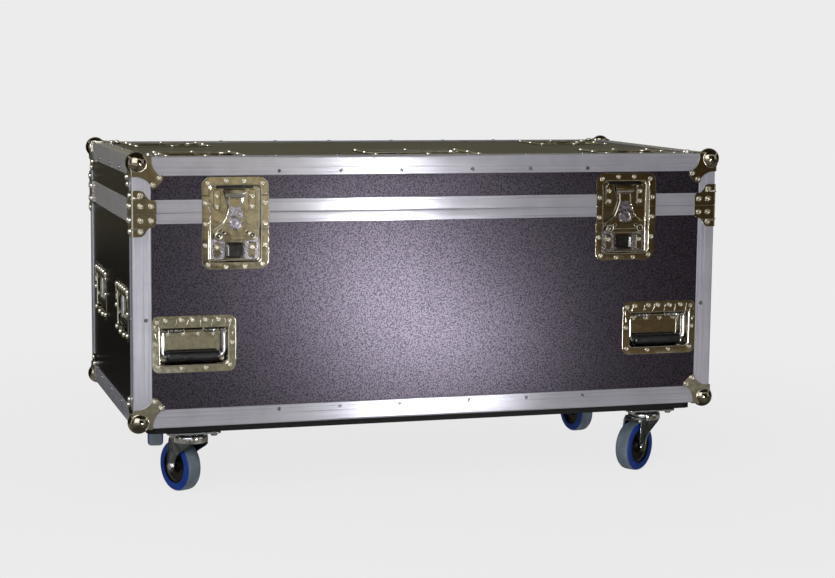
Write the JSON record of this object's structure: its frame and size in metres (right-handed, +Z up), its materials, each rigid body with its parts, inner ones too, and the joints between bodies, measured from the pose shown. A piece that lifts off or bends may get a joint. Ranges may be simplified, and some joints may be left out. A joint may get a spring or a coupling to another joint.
{
  "type": "road trunk",
  "caption": "Laminated plywood road trunk with a hinged lid, aluminium edging, ball corners, recessed latches, sprung handles, stacking cups and swivel castors.",
  "frame": {"origin": "middle of the footprint, on the ground that the castor wheels stand on", "axes": "+X along the front to the right hand, +Y from the front to the hinge side, +Z up"},
  "size_m": [1.2192, 0.6192, 0.6707],
  "materials": {
    "laminate": "stippled dark laminate bonded to 9 mm plywood",
    "board": "black painted plywood",
    "aluminium": "satin anodised, grooved lengthwise",
    "nickel": "bright nickel-plated pressed steel",
    "chrome": "polished chrome-plated steel",
    "zinc": "bright zinc-plated pressed steel",
    "wheel": "blue elastic rubber ring and grey tread on a black nylon hub",
    "grip": "moulded black rubber",
    "lining": "charcoal needle-felt carpet"
  },
  "bodies": {
    "base": {"base_front_panel": "laminate", "base_rear_panel": "laminate", "base_left_panel": "laminate", "base_right_panel": "laminate", "base_floor_panel": "laminate", "castor_board": "board", "base_edge_frame": "aluminium", "base_rim": "aluminium", "base_ball_corner_front_left": "nickel", "base_ball_corner_front_right": "nickel", "base_ball_corner_rear_left": "nickel", "base_ball_corner_rear_right": "nickel", "handle_dish_front_left": "nickel", "handle_dish_front_right": "nickel", "handle_dish_left_front": "nickel", "handle_dish_left_rear": "nickel", "handle_dish_right_front": "nickel", "handle_dish_right_rear": "nickel", "latch_dish_left": "nickel", "latch_dish_right": "nickel", "castor_plate_front_left": "zinc", "castor_plate_front_right": "zinc", "castor_plate_rear_left": "zinc", "castor_plate_rear_right": "zinc", "hinge_base_leaf": "zinc"},
    "lid": {"lid_shell": "laminate", "lid_edge_frame": "aluminium", "lid_rim": "aluminium", "lid_ball_corner_front_left": "nickel", "lid_ball_corner_front_right": "nickel", "lid_ball_corner_rear_left": "nickel", "lid_ball_corner_rear_right": "nickel", "castor_cup_front_left": "nickel", "castor_cup_front_right": "nickel", "castor_cup_rear_left": "nickel", "castor_cup_rear_right": "nickel", "label_dish": "nickel", "latch_keeper_left": "nickel", "latch_keeper_right": "nickel", "hinge_lid_leaf": "zinc"},
    "handle_bail_front_left": {"handle_bail_front_left": "chrome"},
    "handle_bail_front_right": {"handle_bail_front_right": "chrome"},
    "handle_bail_left_front": {"handle_bail_left_front": "chrome"},
    "handle_bail_left_rear": {"handle_bail_left_rear": "chrome"},
    "handle_bail_right_front": {"handle_bail_right_front": "chrome"},
    "handle_bail_right_rear": {"handle_bail_right_rear": "chrome"},
    "latch_cam_left": {"latch_cam_left": "chrome"},
    "latch_wing_left": {"latch_wing_left": "nickel"},
    "latch_hook_left": {"latch_hook_left": "chrome"},
    "latch_cam_right": {"latch_cam_right": "chrome"},
    "latch_wing_right": {"latch_wing_right": "nickel"},
    "latch_hook_right": {"latch_hook_right": "chrome"},
    "castor_fork_front_left": {"castor_fork_front_left": "zinc"},
    "castor_wheel_front_left": {"castor_wheel_front_left": "wheel"},
    "castor_fork_front_right": {"castor_fork_front_right": "zinc"},
    "castor_wheel_front_right": {"castor_wheel_front_right": "wheel"},
    "castor_fork_rear_left": {"castor_fork_rear_left": "zinc"},
    "castor_wheel_rear_left": {"castor_wheel_rear_left": "wheel"},
    "castor_fork_rear_right": {"castor_fork_rear_right": "zinc"},
    "castor_wheel_rear_right": {"castor_wheel_rear_right": "wheel"}
  },
  "joints": [
    {"name": "lid_open", "type": "hinge", "parent": "base", "child": "lid", "pos_m": [0, 0.305, 0.5545], "axis": [-1, 0, 0], "range_deg": [0, 100]},
    {"name": "handle_swing_front_left", "type": "hinge", "parent": "base", "child": "handle_bail_front_left", "pos_m": [-0.4828, -0.286, 0.329], "axis": [-1, 0, 0], "range_deg": [0, 90], "stiffness_Nm_per_rad": 0.4, "springref_deg": -28.65},
    {"name": "handle_swing_front_right", "type": "hinge", "parent": "base", "child": "handle_bail_front_right", "pos_m": [0.4828, -0.286, 0.329], "axis": [-1, 0, 0], "range_deg": [0, 90], "stiffness_Nm_per_rad": 0.4, "springref_deg": -28.65},
    {"name": "handle_swing_left_front", "type": "hinge", "parent": "base", "child": "handle_bail_left_front", "pos_m": [-0.586, -0.152, 0.379], "axis": [0, 1, 0], "range_deg": [0, 90], "stiffness_Nm_per_rad": 0.4, "springref_deg": -28.65},
    {"name": "handle_swing_left_rear", "type": "hinge", "parent": "base", "child": "handle_bail_left_rear", "pos_m": [-0.586, 0.152, 0.379], "axis": [0, 1, 0], "range_deg": [0, 90], "stiffness_Nm_per_rad": 0.4, "springref_deg": -28.65},
    {"name": "handle_swing_right_front", "type": "hinge", "parent": "base", "child": "handle_bail_right_front", "pos_m": [0.586, -0.152, 0.379], "axis": [0, -1, 0], "range_deg": [0, 90], "stiffness_Nm_per_rad": 0.4, "springref_deg": -28.65},
    {"name": "handle_swing_right_rear", "type": "hinge", "parent": "base", "child": "handle_bail_right_rear", "pos_m": [0.586, 0.152, 0.379], "axis": [0, -1, 0], "range_deg": [0, 90], "stiffness_Nm_per_rad": 0.4, "springref_deg": -28.65},
    {"name": "latch_turn_left", "type": "hinge", "parent": "base", "child": "latch_cam_left", "pos_m": [-0.4025, -0.3, 0.534], "axis": [0, -1, 0], "range_deg": [0, 180]},
    {"name": "latch_wing_fold_left", "type": "hinge", "parent": "latch_cam_left", "child": "latch_wing_left", "pos_m": [-0.4025, -0.2981, 0.534], "axis": [-1, 0, 0], "range_deg": [0, 90]},
    {"name": "latch_hook_slide_left", "type": "slide", "parent": "base", "child": "latch_hook_left", "axis": [0, 0, 1], "range_m": [0, 0.008]},
    {"name": "latch_turn_right", "type": "hinge", "parent": "base", "child": "latch_cam_right", "pos_m": [0.4025, -0.3, 0.534], "axis": [0, -1, 0], "range_deg": [0, 180]},
    {"name": "latch_wing_fold_right", "type": "hinge", "parent": "latch_cam_right", "child": "latch_wing_right", "pos_m": [0.4025, -0.2981, 0.534], "axis": [-1, 0, 0], "range_deg": [0, 90]},
    {"name": "latch_hook_slide_right", "type": "slide", "parent": "base", "child": "latch_hook_right", "axis": [0, 0, 1], "range_m": [0, 0.008]},
    {"name": "castor_swivel_front_left", "type": "hinge", "parent": "base", "child": "castor_fork_front_left", "pos_m": [-0.48, -0.242, 0.12], "axis": [0, 0, 1], "continuous": true},
    {"name": "castor_spin_front_left", "type": "hinge", "parent": "castor_fork_front_left", "child": "castor_wheel_front_left", "pos_m": [-0.49521, -0.20937, 0.05], "axis": [-0.9063, -0.4226, 0], "continuous": true},
    {"name": "castor_swivel_front_right", "type": "hinge", "parent": "base", "child": "castor_fork_front_right", "pos_m": [0.48, -0.242, 0.12], "axis": [0, 0, 1], "continuous": true},
    {"name": "castor_spin_front_right", "type": "hinge", "parent": "castor_fork_front_right", "child": "castor_wheel_front_right", "pos_m": [0.45016, -0.26213, 0.05], "axis": [0.5592, -0.829, 0], "continuous": true},
    {"name": "castor_swivel_rear_left", "type": "hinge", "parent": "base", "child": "castor_fork_rear_left", "pos_m": [-0.48, 0.186, 0.12], "axis": [0, 0, 1], "continuous": true},
    {"name": "castor_spin_rear_left", "type": "hinge", "parent": "castor_fork_rear_left", "child": "castor_wheel_rear_left", "pos_m": [-0.47437, 0.22156, 0.05], "axis": [-0.9877, 0.1564, 0], "continuous": true},
    {"name": "castor_swivel_rear_right", "type": "hinge", "parent": "base", "child": "castor_fork_rear_right", "pos_m": [0.48, 0.186, 0.12], "axis": [0, 0, 1], "continuous": true},
    {"name": "castor_spin_rear_right", "type": "hinge", "parent": "castor_fork_rear_right", "child": "castor_wheel_rear_right", "pos_m": [0.48625, 0.15055, 0.05], "axis": [0.9848, 0.1736, 0], "continuous": true}
  ],
  "couplings": [
    {"joint": "latch_turn_left", "follows": "latch_hook_slide_left", "rad_per_m": 392.69},
    {"joint": "latch_turn_right", "follows": "latch_hook_slide_right", "rad_per_m": 392.69}
  ]
}
